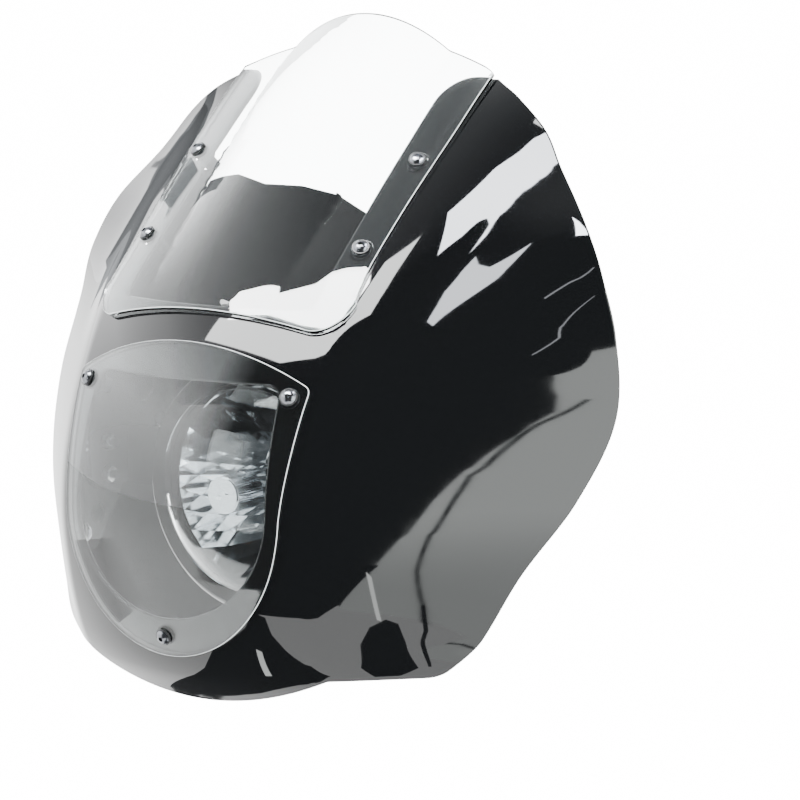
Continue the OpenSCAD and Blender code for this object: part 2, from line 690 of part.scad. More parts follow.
// Bucket: a pressed bowl with a threaded boss on each side and a hole for the cable
function bowl(k, off) = let (t = k * 90) [(bucket_r - off) * sin(t) ^ 0.8, back_f + off + (rim_f - 22 - back_f - off) * (1 - cos(t))];
module bucket() {
    color(black) difference() {
        union() {
            lamp_axis() rotate_extrude($fn = 120) polygon(concat(
                [for (k = [0:0.05:1]) bowl(k, 0)], [[bucket_r, rim_f], [lens_r - 6, rim_f],
                    [lens_r - 6, rim_f - bucket_t], [bucket_r - bucket_t, rim_f - bucket_t]],
                [for (k = [1:-0.05:0]) bowl(k, bucket_t)]));
            both() translate([bucket_r - 12, -lamp_bolt_y, 0]) rotate([0, 90, 0]) cylinder(r = 11, h = 15.3, $fn = 48);
        }
        both() translate([bucket_r - 20, -lamp_bolt_y, 0]) rotate([0, 90, 0])
            cylinder(r = lamp_bolt_d / 2 + thread_fit, h = 30, $fn = 32);
        lamp_axis() translate([0, 0, back_f - 5]) cylinder(r = grommet_r, h = 30, $fn = 48);
        translate([0, -rim_f + 6, -bucket_r - 5]) cylinder(r = 1.5 + thread_fit, h = 10, $fn = 24);
    }
}
grommet_r = 9;
module wire_grommet() {
    color(rubber_black) lamp_axis() translate([0, 0, back_f]) rotate_extrude($fn = 48) difference() {
        union() {
            translate([0, -2.6]) square([grommet_r - 0.1, 7]);
            translate([0, -2.6]) square([grommet_r + 2.5, 2.5]);
            translate([0, bucket_t + 0.5]) square([grommet_r + 2.5, 2]);
        }
        translate([0, -10]) square([3.5, 20]);
    }
}
// Bezel: a rolled ring that laps the bucket rim and holds the lens
module bezel() {
    r = bucket_r + 3.5;
    color(black) lamp_axis() difference() {
        rotate_extrude($fn = 120) difference() {
            union() {
                translate([0, rim_f - 12]) square([r, 16]);
                translate([r - 5, rim_f + 4]) circle(r = 5, $fn = 32);
                translate([0, rim_f + 4]) square([r - 5, 5]);
            }
            translate([0, rim_f - 13]) square([bucket_r + 0.2, 13 + seat]);
            square([lens_r - 5, rim_f + 20]);
            translate([0, rim_f - 1]) square([lens_r + 0.4, lens_f - rim_f + 1 + seat]);
        }
        translate([0, -bucket_r, rim_f - 6]) rotate([90, 0, 0]) cylinder(r = 1.8, h = 20, center = true, $fn = 24);
    }
}
module bezel_screw() {
    color(dark_steel) translate([0, -rim_f + 6, -bucket_r - 3.6]) rotate([180, 0, 0]) button_screw(3, 6, 6);
}
module lens() {
    color(clear) lamp_axis() rotate_extrude($fn = 120) difference() {
        union() {
            intersection() {
                translate([0, lens_f + lens_dome - lens_sphere_r]) circle(r = lens_sphere_r, $fn = 180);
                translate([0, lens_f]) square([lens_r - 6, 60]);
            }
            translate([0, lens_f - 3]) square([lens_r, 3]);
        }
        intersection() {
            translate([0, lens_f + lens_dome - lens_sphere_r]) circle(r = lens_sphere_r - lens_t, $fn = 180);
            translate([0, lens_f - 10]) square([lens_r - 6 - lens_t, 80]);
        }
    }
}
module lens_gasket() {
    color(rubber_black) lamp_axis() translate([0, 0, reflector_rim_f + seat]) difference() {
        cylinder(r = lens_r - 2.5, h = lens_f - 3 - reflector_rim_f - 2 * seat, $fn = 96);
        translate([0, 0, -1]) cylinder(r = lens_r - 6, h = 20, $fn = 96);
    }
}
// Reflector: a bowl of flat facets, with a neck that holds the bulb
neck_r = 21;
bulb_r = 8;
reflector_r = lens_r - 9.5;
reflector_back = back_f + 32;
reflector_rows = 7;
reflector_t = 1.6;
reflector_rim_f = rim_f + seat + reflector_t;
function reflector_point(j, i, off) = let (
    k = min(j, reflector_rows),
    bowl_r = neck_r + (reflector_r - neck_r) * k / reflector_rows,
    r = j > reflector_rows ? lens_r - 2 : bowl_r + off,
    f = reflector_back + (reflector_rim_f - reflector_back) * (k / reflector_rows) ^ 1.6,
    a = 360 * (i + (j % 2) / 2) / facet_columns
) [r * cos(a), r * sin(a), f - (j == 0 ? 0 : off)];
module reflector() {
    n = facet_columns;
    m = reflector_rows + 2;
    pts = [for (off = [0, reflector_t]) for (j = [0:m - 1]) for (i = [0:n - 1]) reflector_point(j, i, off)];
    function id(l, j, i) = l * m * n + j * n + i % n;
    color(bright) lamp_axis() polyhedron(pts, concat(
        [for (j = [0:m - 2]) for (i = [0:n - 1]) let (s = j % 2)
            each [[id(0, j, i), id(0, j, i + 1), id(0, j + 1, i + s)],
                [id(0, j + 1, i), id(0, j, i + 1 - s), id(0, j + 1, i + 1)],
                [id(1, j, i), id(1, j + 1, i + s), id(1, j, i + 1)],
                [id(1, j + 1, i), id(1, j + 1, i + 1), id(1, j, i + 1 - s)]]],
        [for (i = [0:n - 1]) each [[id(0, 0, i), id(1, 0, i + 1), id(0, 0, i + 1)],
            [id(0, 0, i), id(1, 0, i), id(1, 0, i + 1)],
            [id(0, m - 1, i), id(0, m - 1, i + 1), id(1, m - 1, i + 1)],
            [id(0, m - 1, i), id(1, m - 1, i + 1), id(1, m - 1, i)]]]));
}
module bulb_base() {
    color(steel) lamp_axis() translate([0, 0, reflector_back]) rotate_extrude($fn = 64) union() {
        translate([0, -9]) square([10.5, 10]);
        translate([0, -2.3]) square([neck_r + 3, 2.2]);
    }
}
module bulb_glass() {
    color(clear) lamp_axis() translate([0, 0, reflector_back + 1 + seat]) rotate_extrude($fn = 64) union() {
        square([bulb_r, 34]);
        intersection() {
            translate([0, 34]) circle(r = bulb_r, $fn = 48);
            square([20, 60]);
        }
    }
}
module bulb_shield() {
    cup_f = lens_f + lens_dome - lens_t - 3;
    r = cap_d / 2;
    leg_f = reflector_back + 0.2;
    color(bright) lamp_axis() union() {
        rotate_extrude($fn = 64) difference() {
            union() {
                translate([0, cup_f - 26]) square([r, 25]);
                square([r - 1, cup_f]);
            }
            square([r - 1.2, cup_f - 1.4]);
            square([r + 10, cup_f - 26]);
        }
        for (a = [90, 210, 330]) rotate([0, 0, a]) translate([r - 1.1, -2, leg_f])
            cube([1.2, 4, cup_f - 20 - leg_f]);
        translate([0, 0, reflector_back]) washer(r - 1.15, neck_r - 0.5, 1.2);
    }
}
module bulb_plug() {
    color(rubber_black) lamp_axis() translate([0, 0, reflector_back - 9.2]) difference() {
        translate([-13, -13, -16]) cube([26, 26, 16]);
        for (x = [-7, 7]) translate([x - 2.5, -1.5, -17]) cube([5, 3, 6]);
    }
}

shell();
flank_inserts();
screen();
screen_screws();
screen_washers();
screen_wellnuts();
window();
window_screws();
window_washers();
window_wellnuts();
wellnut_inserts();
bracket_left();
bracket_right();
bracket_screws();
bracket_washers();
clamp_front_halves();
clamp_rear_halves();
clamp_bolts();
clamp_washers();
clamp_nuts();
lamp_ears();
ear_bolts();
ear_nuts();
lamp_bolts();
lamp_washers();
bucket();
bezel();
bezel_screw();
lens();
lens_gasket();
reflector();
bulb_base();
bulb_glass();
bulb_shield();
bulb_plug();
wire_grommet();
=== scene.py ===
import json
import math
import bpy
import numpy as np
from mathutils import Matrix, Vector
from mathutils.geometry import delaunay_2d_cdt


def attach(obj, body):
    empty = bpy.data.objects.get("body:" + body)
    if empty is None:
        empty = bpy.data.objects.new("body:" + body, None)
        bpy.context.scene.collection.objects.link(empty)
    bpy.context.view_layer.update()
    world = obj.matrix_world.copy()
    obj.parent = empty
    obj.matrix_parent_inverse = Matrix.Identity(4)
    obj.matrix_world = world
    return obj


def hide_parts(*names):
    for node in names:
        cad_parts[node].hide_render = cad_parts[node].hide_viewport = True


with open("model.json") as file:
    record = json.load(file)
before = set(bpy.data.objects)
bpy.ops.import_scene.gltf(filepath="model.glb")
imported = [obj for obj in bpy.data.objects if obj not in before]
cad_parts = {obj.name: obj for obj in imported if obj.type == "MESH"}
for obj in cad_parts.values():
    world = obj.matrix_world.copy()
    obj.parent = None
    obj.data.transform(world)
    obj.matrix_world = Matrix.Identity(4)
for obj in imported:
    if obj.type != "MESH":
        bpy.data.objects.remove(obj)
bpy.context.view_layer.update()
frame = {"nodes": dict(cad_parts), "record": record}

nodes = frame["nodes"]
scene = bpy.context.scene
print("frame loaded,", len(nodes), "nodes")


# Materials

def hexColor(code):  # sRGB hex to the linear values that the sockets take
    channels = [int(code[i:i + 2], 16) / 255 for i in (1, 3, 5)]
    return [c / 12.92 if c <= 0.04045 else ((c + 0.055) / 1.055) ** 2.4 for c in channels] + [1.0]


def addNode(tree, kind, inputs=None, into=None, **settings):  # an input takes a value or a node's output
    node = tree.nodes.new(kind)
    for key, value in settings.items():
        setattr(node, key, value)
    for key, value in (inputs or {}).items():
        if isinstance(value, bpy.types.NodeSocket):
            tree.links.new(value, node.inputs[key])
        else:
            node.inputs[key].default_value = value
    if into is not None:
        tree.links.new(node.outputs[0], into)
    return node


def newMaterial(name, color, roughness, metallic=0.0, ior=None):
    mat = bpy.data.materials.new(name)
    mat.use_nodes = True
    tree = mat.node_tree
    shader = tree.nodes["Principled BSDF"]
    shader.inputs["Base Color"].default_value = hexColor(color)
    shader.inputs["Roughness"].default_value = roughness
    shader.inputs["Metallic"].default_value = metallic
    if ior:
        shader.inputs["IOR"].default_value = ior
    place = addNode(tree, "ShaderNodeTexCoord")
    return mat, tree, shader, place.outputs["Object"]


def addGrain(mat, tree, shader, at, mm, detail, roughness=None, relief=None, colors=None):
    # one noise of grains mm across drives what of the finish varies: the range of its roughness,
    # the strength and depth in mm of its relief, and its two colours
    noise = addNode(tree, "ShaderNodeTexNoise", {"Vector": at, "Scale": 1000 / mm, "Detail": detail})
    grain = noise.outputs["Fac"]
    if roughness:
        low, high = roughness
        addNode(tree, "ShaderNodeMapRange", {"Value": grain, "To Min": low, "To Max": high},
                shader.inputs["Roughness"])
    if relief:
        strength, depth = relief
        addNode(tree, "ShaderNodeBump", {"Height": grain, "Strength": strength, "Distance": depth / 1000},
                shader.inputs["Normal"])
    if colors:
        mix = addNode(tree, "ShaderNodeMix", data_type="RGBA")
        mix.inputs[6].default_value, mix.inputs[7].default_value = [hexColor(code) for code in colors]
        tree.links.new(grain, mix.inputs[0])
        tree.links.new(mix.outputs[2], shader.inputs["Base Color"])
    return mat


def moulding():
    # gloss black ABS, injection moulded in a polished tool: a deep black with a mirror-like skin
    # that wavers a little where the wall shrank, every 55 mm, under fine dust of 9 mm patches
    made = newMaterial("gloss black moulded ABS", "#060708", 0.03, ior=1.53)
    addGrain(*made, mm=55, detail=1.0, relief=(0.12, 0.5))
    return addGrain(*made, mm=9, detail=6.0, roughness=(0.02, 0.055))


def mouldingBack():
    # back of the same moulding, as it leaves the tool: satin, with a fine spark texture of 1 mm
    made = newMaterial("satin black moulded ABS, back face", "#0A0B0C", 0.5, ior=1.53)
    made[2].inputs["Specular IOR Level"].default_value = 0.25
    return addGrain(*made, mm=1.0, detail=3.0, roughness=(0.44, 0.6), relief=(0.25, 0.06))


def clearAcrylic():
    # cast acrylic sheet, thermoformed and flame polished: water clear with bright edges
    made = newMaterial("clear acrylic sheet", "#F4F8F8", 0.0, ior=1.49)
    made[2].inputs["Transmission Weight"].default_value = 1.0
    return addGrain(*made, mm=30, detail=3.0, roughness=(0.0, 0.012))


def acrylicEdgeHighlight():
    # edge of the sheet, routed and flame polished: its pale, mostly opaque colour is a painted highlight that
    # stands in for the bright line along the edge
    made = newMaterial("acrylic edge, painted highlight", "#EEF3F3", 0.3, ior=1.49)
    made[2].inputs["Transmission Weight"].default_value = 0.3
    return addGrain(*made, mm=2, detail=3.0, roughness=(0.2, 0.4))


def lensGlass():
    # pressed and coated polycarbonate lamp glass, clear, with a soft moulded ripple of 20 mm
    made = newMaterial("clear lamp glass", "#F7F9FA", 0.0, ior=1.5)
    made[2].inputs["Transmission Weight"].default_value = 1.0
    return addGrain(*made, mm=20, detail=1.0, relief=(0.05, 0.3))


def brightCoat():
    # vacuum metallised reflector: aluminium a few atoms thick under clear lacquer, nearly a mirror
    made = newMaterial("vacuum metallised aluminium", "#E9EAEC", 0.05, 1.0)
    return addGrain(*made, mm=12, detail=2.0, roughness=(0.03, 0.08), relief=(0.08, 0.3))


def blackFastener():
    # black nickel over steel: dark mirror heads that pick up the lights, rubbed in 1.5 mm patches
    made = newMaterial("black nickel plated steel", "#6C6E72", 0.18, 1.0)
    return addGrain(*made, mm=1.5, detail=4.0, roughness=(0.12, 0.28), colors=("#5A5C60", "#85878B"))


def powderCoat():
    # matt black powder coat on bent steel: fine orange peel, 1.2 mm from crest to crest
    made = newMaterial("matt black powder coat", "#101112", 0.7, ior=1.5)
    made[2].inputs["Specular IOR Level"].default_value = 0.2
    return addGrain(*made, mm=1.2, detail=2.0, roughness=(0.62, 0.8), relief=(0.25, 0.08))


def enamel():
    # gloss black stoving enamel over pressed steel, with a flow of 6 mm where it ran level
    made = newMaterial("gloss black stoving enamel", "#0A0A0B", 0.06, ior=1.5)
    made[2].inputs["Coat Weight"].default_value = 0.5
    made[2].inputs["Coat Roughness"].default_value = 0.03
    return addGrain(*made, mm=6, detail=2.0, roughness=(0.05, 0.1), relief=(0.08, 0.15))


def zincPlate():
    # bright zinc plated steel: cool grey with a faint mottled tint from the passivation
    made = newMaterial("zinc plated steel", "#B4B7BA", 0.3, 1.0)
    return addGrain(*made, mm=4, detail=3.0, roughness=(0.22, 0.38), colors=("#A8ADB4", "#C4C2B8"))


def machinedAlloy():
    # extruded aluminium cut across the bar: fine saw and mill lines 0.8 mm apart
    mat, tree, shader, at = newMaterial("machined aluminium", "#C3C5C8", 0.35, 1.0)
    stretch = addNode(tree, "ShaderNodeMapping", {"Vector": at, "Scale": (0.08, 1.0, 1.0)})
    return addGrain(mat, tree, shader, stretch.outputs["Vector"], mm=0.8, detail=3.0,
                    roughness=(0.28, 0.45), relief=(0.15, 0.05))


def turnedBrass():
    # free cutting brass, turned: warm yellow, tarnished in spots of 2 mm
    made = newMaterial("turned brass", "#C9A15A", 0.25, 1.0)
    return addGrain(*made, mm=2, detail=3.0, roughness=(0.2, 0.36), colors=("#B98F48", "#D6B26C"))


def blackRubber():
    # moulded EPDM rubber: dull black with a grey bloom of 3 mm
    made = newMaterial("moulded black rubber", "#17181A", 0.75, ior=1.5)
    return addGrain(*made, mm=3, detail=4.0, relief=(0.15, 0.1), colors=("#131415", "#232527"))


def blackNylon():
    # moulded nylon 66, black: waxy satin with a light spark texture of 0.6 mm
    made = newMaterial("moulded black nylon", "#151617", 0.45, ior=1.53)
    return addGrain(*made, mm=0.6, detail=2.0, roughness=(0.4, 0.52), relief=(0.2, 0.05))


finishes = {
    "gloss_black_moulding": moulding(),
    "clear_acrylic": clearAcrylic(),
    "clear_lens": lensGlass(),
    "black_steel": powderCoat(),
    "gloss_black_steel": enamel(),
    "zinc_steel": zincPlate(),
    "clamp_alloy": machinedAlloy(),
    "brass": turnedBrass(),
    "black_rubber": blackRubber(),
    "black_nylon": blackNylon(),
    "black_plug": blackNylon(),
    "bright_reflector": brightCoat(),
}
plated = blackFastener()
paintedEdgeHighlight, shellBack = acrylicEdgeHighlight(), mouldingBack()
platedNodes = ["screen_screws", "window_screws", "bracket_screws", "clamp_bolts", "ear_bolts",
               "lamp_bolts", "bezel_screw"]
for part in frame["record"]["subparts"]:
    node = nodes[part["node"]]
    node.data.materials.clear()
    node.data.materials.append(plated if part["node"] in platedNodes else finishes[part["material_slot"]])
print("materials made")


# The moulded skin, in millimetres, as in the part's source

cowl = {
    "wall": 3.0,
    "width": 448.0,
    "shoulderWidth": 410.0,
    "armTopWidth": 203.0,
    "heelWidth": 288.0,
    "heelRadius": 18.0,
    "armTop": 260.0,
    "heel": 105.0,
    "chinDip": 22.0,
    "nose": 229.5,
    "chin": 186.0,
    "knee": 90.0,
    "kneeSoft": 8.0,
    "crownDepth": 22.7,
    "flankSlope": 1.05,
    "shoulderRise": 16.0,
    "shoulderAt": 38.0,
    "shoulderSoft": 25.0,
    "armGap": 146.0,
    "armFoot": 123.0,
    "armTipRadius": 15.0,
    "edgeRadius": 1.4,
    "grid": 3.0,
}
nose, slope, rise, armTop = cowl["nose"], cowl["flankSlope"], cowl["shoulderRise"], cowl["armTop"]
halfWidth, halfShoulder = cowl["width"] / 2, cowl["shoulderWidth"] / 2
halfHeel, halfArmTop = cowl["heelWidth"] / 2, cowl["armTopWidth"] / 2
# by height: the nose line, the half width, the slope of the flank and the height of the shoulder
profile = [(-cowl["heel"] - cowl["chinDip"], -cowl["chin"]), (-106, 24.5 - nose), (-80, 12.5 - nose),
           (-44, 3.5 - nose), (-10, -nose), (28, 5 - nose), (75, 21.5 - nose), (121, 50 - nose),
           (173, 103.5 - nose), (215, 151.5 - nose), (259, 206.5 - nose), (300, 275 - nose)]
edge = [(-cowl["heel"] - 3, halfHeel), (-92, halfHeel + 16), (-81, halfHeel + 24), (-43, halfHeel + 42),
        (3, halfWidth - 13), (53, halfWidth), (104, halfWidth - 8), (141, halfShoulder),
        (173, halfShoulder - 17), (206, halfShoulder - 44), (230, halfArmTop + 42), (249, halfArmTop + 20),
        (armTop, halfArmTop)]
flank = [(-130, slope - 0.15), (-104, slope - 0.15), (-81, slope - 0.05), (-43, slope), (53, slope + 0.02),
         (104, slope - 0.01), (141, slope - 0.17), (173, slope - 0.3), (206, slope - 0.33),
         (230, slope - 0.48), (armTop, slope - 0.85)]
shoulder = [(-130, 0), (80, 0), (110, 0.6 * rise), (141, rise), (206, rise), (240, 0.4 * rise), (armTop, 0)]


def curveAt(points, x):  # smooth curve through the points
    knots = np.array(points, float)
    x = np.asarray(x, float)
    last = len(knots) - 1
    ends = [(max(i - 1, 0), min(i + 1, last)) for i in range(last + 1)]
    slopes = np.array([(knots[b, 1] - knots[a, 1]) / (knots[b, 0] - knots[a, 0]) for a, b in ends])
    i = np.clip(np.searchsorted(knots[:, 0], x, side="right") - 1, 0, last - 1)
    width = knots[i + 1, 0] - knots[i, 0]
    t = (x - knots[i, 0]) / width
    a, b, m, n = knots[i, 1], knots[i + 1, 1], slopes[i] * width, slopes[i + 1] * width
    return a + t * m + t * t * (3 * (b - a) - 2 * m - n) + t ** 3 * (2 * (a - b) + m + n)


def softStep(x):  # from 0 to 1, a half at 0
    return 1 / (1 + np.exp(-2 * x))


def edgeX(z):
    return curveAt(edge, np.minimum(z, armTop))


def faceY(x, z):  # a crowned face, a soft knee into the flank, and the shoulder
    knee, soft, crown = cowl["knee"], cowl["kneeSoft"], cowl["crownDepth"] / cowl["knee"] ** 2
    out, low = np.abs(x), np.minimum(z, armTop)
    reach, run, start = edgeX(z) - knee, np.maximum(out - knee, 0), 2 * crown * knee
    turned = soft * (1 - np.exp(-reach / soft))
    end = start + (curveAt(flank, low) - start) * reach / (reach - turned)
    straight = start * run + (end - start) * (run - soft * (1 - np.exp(-run / soft)))
    first = softStep(-cowl["shoulderAt"] / cowl["shoulderSoft"])
    final = softStep((reach - cowl["shoulderAt"]) / cowl["shoulderSoft"])
    share = (softStep((run - cowl["shoulderAt"]) / cowl["shoulderSoft"]) - first) / (final - first)
    swell = curveAt(shoulder, low) * (share - run / reach)
    return curveAt(profile, z) + crown * np.minimum(out, knee) ** 2 + straight + swell


def skinNormal(x, z):
    d = 0.5
    across = (faceY(x + d, z) - faceY(x - d, z)) / (2 * d)
    upward = (faceY(x, z + d) - faceY(x, z - d)) / (2 * d)
    n = np.stack([across, -np.ones_like(across), upward], -1)
    return n / np.linalg.norm(n, axis=-1, keepdims=True)


def skin(x, z, off):
    x, z = np.asarray(x, float), np.asarray(z, float)
    return np.stack([x, faceY(x, z), z], -1) + np.asarray(off, float)[..., None] * skinNormal(x, z)


# Sheets cut from a curved surface, with rounded edges

def loopNormals(loop):  # pointing out of the material, for a loop with the material on its left
    after = np.roll(loop, -1, 0) - loop
    before = loop - np.roll(loop, 1, 0)
    after /= np.linalg.norm(after, axis=1, keepdims=True)
    before /= np.linalg.norm(before, axis=1, keepdims=True)
    tangent = after + before
    tangent /= np.linalg.norm(tangent, axis=1, keepdims=True)
    miter = 1 / np.clip((tangent * after).sum(1), 0.6, 1)
    return np.stack([tangent[:, 1], -tangent[:, 0]], 1) * miter[:, None]


def insideLoops(points, loops):
    inside = np.zeros(len(points), bool)
    x, z = points[:, 0], points[:, 1]
    for loop in loops:
        for (ax, az), (bx, bz) in zip(loop, np.roll(loop, -1, 0)):
            if az != bz:
                crosses = (az > z) != (bz > z)
                inside ^= crosses & (x < (bx - ax) * (z - az) / (bz - az) + ax)
    return inside


def surfaceNormal(surface, x, z, off):
    d = 0.2
    across = surface(x + d, z, off) - surface(x - d, z, off)
    upward = surface(x, z + d, off) - surface(x, z - d, off)
    n = np.cross(across, upward)
    return n / np.linalg.norm(n, axis=1, keepdims=True)


def makeSheet(name, loops, surface, outer, inner, radius, grid, materials, replaced):
    # materials of the front, the back, the bevel in front and the rest of the rim
    loops = [np.array(loop, float) for loop in loops]
    flat = np.concatenate(loops)
    outward = np.concatenate([loopNormals(loop) for loop in loops])
    mid = np.full(len(flat), (outer + inner) / 2)
    # how far the sheet leans at its edges, from a step of d mm in the plan
    d = 0.2
    beyond = flat + d * outward
    away = surface(beyond[:, 0], beyond[:, 1], mid) - surface(flat[:, 0], flat[:, 1], mid)
    stretch = np.linalg.norm(away, axis=1) / d
    away /= np.linalg.norm(away, axis=1, keepdims=True)
    step2d = outward / stretch[:, None]
    starts = np.cumsum([0] + [len(loop) for loop in loops])
    inset = flat - radius * step2d
    insetLoops = [inset[a:b] for a, b in zip(starts, starts[1:])]
    # grid points inside the cut edges, none of them nearer to an edge point than about half a step
    low, high = flat.min(0), flat.max(0)
    gx, gz = np.meshgrid(np.arange(low[0], high[0], grid), np.arange(low[1], high[1], grid))
    gx = gx + (np.arange(gx.shape[0]) % 2)[:, None] * grid / 2
    points = np.stack([gx.ravel(), gz.ravel()], 1)
    points = points[insideLoops(points, insetLoops)]
    tooNear, blockSize = 0.55 * grid, 200
    for block in np.array_split(inset, max(1, len(inset) // blockSize)):
        near = ((points[:, None] - block[None]) ** 2).sum(-1).min(1) < tooNear ** 2
        points = points[~near]
    plan = np.concatenate([inset, points])
    ring = [(a + i, a + (i + 1) % (b - a)) for a, b in zip(starts, starts[1:]) for i in range(b - a)]
    made, _, faces, origins, _, _ = delaunay_2d_cdt([Vector(p) for p in plan], ring, [], 0, 1e-6)
    made = np.array([tuple(v) for v in made])
    index = {source: k for k, sources in enumerate(origins) for source in sources}
    faces = np.array([f for f in faces if len(f) == 3])
    faces = faces[insideLoops(made[faces].mean(1), insetLoops)]
    # the two faces
    count = len(made)
    rows, normals = [], []
    for off, sign in ((outer, 1), (inner, -1)):
        offs = np.full(count, off)
        rows.append(surface(made[:, 0], made[:, 1], offs))
        normals.append(sign * surfaceNormal(surface, made[:, 0], made[:, 1], offs))
    polygons = [tuple(f) for f in faces] + [tuple(f[::-1] + count) for f in faces]
    # rim rows from the outer face round to the inner face
    turns = 4
    quarter = [math.pi / 2 * k / turns for k in range(1, turns + 1)]
    rim = [(a, outer - radius * (1 - math.cos(a)), math.cos(a)) for a in quarter]
    rim += [(a, inner + radius * (1 - math.cos(a)), -math.cos(a)) for a in quarter[::-1]]
    total = len(flat)
    for a, off, lift in rim:
        place = flat - radius * (1 - math.sin(a)) * step2d
        offs = np.full(total, off)
        rows.append(surface(place[:, 0], place[:, 1], offs))
        n = lift * surfaceNormal(surface, place[:, 0], place[:, 1], offs) + math.sin(a) * away
        normals.append(n / np.linalg.norm(n, axis=1, keepdims=True))
    first = np.array([index[i] for i in range(total)])
    sides = [0] * len(faces) + [1] * len(faces)
    chain = [first] + [2 * count + k * total + np.arange(total) for k in range(len(rim))] + [first + count]
    for k, (upper, lower) in enumerate(zip(chain, chain[1:])):
        for i, j in ring:
            polygons.append((int(upper[j]), int(upper[i]), int(lower[i]), int(lower[j])))
        sides += [2 if k < turns else 3] * len(ring)
    mesh = bpy.data.meshes.new(name)
    mesh.from_pydata((np.concatenate(rows) / 1000).tolist(), [], [tuple(int(v) for v in p) for p in polygons])
    for material in materials:
        mesh.materials.append(material)
    mesh.polygons.foreach_set("material_index", sides)
    mesh.polygons.foreach_set("use_smooth", [True] * len(mesh.polygons))
    mesh.update()
    mesh.normals_split_custom_set_from_vertices(np.concatenate(normals).tolist())
    piece = bpy.data.objects.new(name, mesh)
    scene.collection.objects.link(piece)
    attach(piece, "root")
    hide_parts(replaced)
    print(name, "made,", len(mesh.polygons), "faces")


def spaced(points, gap):  # the same line with a point at least every gap
    out = []
    for a, b in zip(points, points[1:]):
        a, b = np.array(a, float), np.array(b, float)
        n = max(1, math.ceil(np.linalg.norm(b - a) / gap))
        out += [a + (b - a) * k / n for k in range(n)]
    return out + [np.array(points[-1], float)]


def arcPoints(cx, cz, r, start, end, gap):
    n = max(3, math.ceil(abs(math.radians(end - start)) * r / gap))
    turns = [math.radians(start + (end - start) * k / n) for k in range(n + 1)]
    return [np.array([cx + r * math.cos(t), cz + r * math.sin(t)]) for t in turns]


def mirroredLoop(right):  # closes a right half, listed from the foot to the head, with its mirror image
    left = [p * np.array([-1, 1]) for p in right[::-1] if abs(p[0]) > 1e-6]
    return np.array(list(right) + left)


def roundHole(x, z, r):  # listed clockwise, so that the material is on its left
    return np.array(arcPoints(x, z, r, 360, 15, 0.26 * r))


# Cowl shell

screws = {
    "screenHigh": (86.07, 207.5),
    "screenLow": (83.15, 156.5),
    "windowHigh": (77.0, 72.0),
    "windowLow": (0.0, -78.5),
    "sleeveRadius": 4.9,
    "shankRadius": 2.85,
}
screenSpots = [(s * x, z) for s in (-1, 1) for x, z in (screws["screenHigh"], screws["screenLow"])]
windowSpots = [(s * screws["windowHigh"][0], screws["windowHigh"][1]) for s in (-1, 1)]
windowSpots.append(screws["windowLow"])
opening = {"halfWidth": 72.5, "topHalfWidth": 70.0, "cornerHeight": 79.5, "rise": 0.5, "foot": 68.5,
           "cornerRadius": 9.0}


def lampOutline(halfWidth, topHalfWidth, cornerHeight, rise, foot, cornerRadius, gap):
    # half an ellipse below, straight sides, rounded corners and a shallow arc on top
    ellipse = [np.array([halfWidth * math.sin(t), -foot * math.cos(t)])
               for t in np.linspace(0, math.pi / 2, 40)]
    arcR = (topHalfWidth ** 2 + rise ** 2) / (2 * rise)
    corner = np.array([topHalfWidth, cornerHeight])
    side = (corner - ellipse[-1]) / np.linalg.norm(corner - ellipse[-1])
    lean = math.asin(topHalfWidth / arcR)
    along = np.array([-math.cos(lean), math.sin(lean)])
    turn = math.acos(float(side @ along))
    length = cornerRadius * math.tan(turn / 2)
    middle = corner - side * length + cornerRadius * np.array([-side[1], side[0]])
    start = math.degrees(math.atan2(side[1], side[0])) - 90
    bend = arcPoints(middle[0], middle[1], cornerRadius, start, start + math.degrees(turn), gap / 2)
    inner = corner + along * length
    spread = math.asin(inner[0] / arcR)
    top = [np.array([arcR * math.sin(t), cornerHeight + rise - arcR * (1 - math.cos(t))])
           for t in np.linspace(spread, 0, 30)]
    right = spaced(ellipse, gap)[:-1] + spaced([ellipse[-1], bend[0]], gap)[:-1] + bend[:-1] + top
    return mirroredLoop(right)


def shellOutline(gap):
    bottomX = np.linspace(0, float(edgeX(-cowl["heel"])), 60)
    bottom = [np.array([x, -cowl["heel"] - cowl["chinDip"] * max(0.0, 1 - (x / 95) ** 2)]) for x in bottomX]
    top = armTop - 0.5
    rear = [np.array([float(edgeX(z)), z]) for z in np.linspace(-cowl["heel"], top, 300)]
    # the heel's arc touches the foot line and the rear edge
    heelR, line = cowl["heelRadius"], np.array(rear[:90])
    low, high = 100.0, cowl["heelWidth"] / 2
    for _ in range(30):
        middle = np.array([(low + high) / 2, heelR - cowl["heel"]])
        away = np.linalg.norm(line - middle, axis=1)
        low, high = (middle[0], high) if away.min() > heelR else (low, middle[0])
    touch = int(away.argmin())
    lean = math.degrees(math.atan2(*(line[touch] - middle)[::-1]))
    heel = arcPoints(middle[0], middle[1], heelR, -90, lean, gap / 2)
    bottom = [p for p in bottom if p[0] < middle[0] - 1] + heel
    rear = rear[touch + 1::2]
    r, half = cowl["armTipRadius"], cowl["armGap"] / 2
    tip = arcPoints(half + r, top - r, r, 90, 180, gap)
    right = bottom[:-1] + rear[:-1] + spaced([rear[-1], tip[0]], gap)[:-1] + tip[:-1]
    right += spaced([tip[-1], (half, cowl["armFoot"]), (0, cowl["armFoot"])], gap)
    return mirroredLoop(right)


shellLoops = [shellOutline(2.5), lampOutline(*opening.values(), 2.5)[::-1]]
shellLoops += [roundHole(x, z, screws["sleeveRadius"]) for x, z in screenSpots + windowSpots]
gloss = finishes["gloss_black_moulding"]
makeSheet("cowl_shell", shellLoops, skin, 0.0, -cowl["wall"], cowl["edgeRadius"], cowl["grid"],
          [gloss, shellBack, gloss, gloss], "shell")

# Bosses moulded on the back of the shell

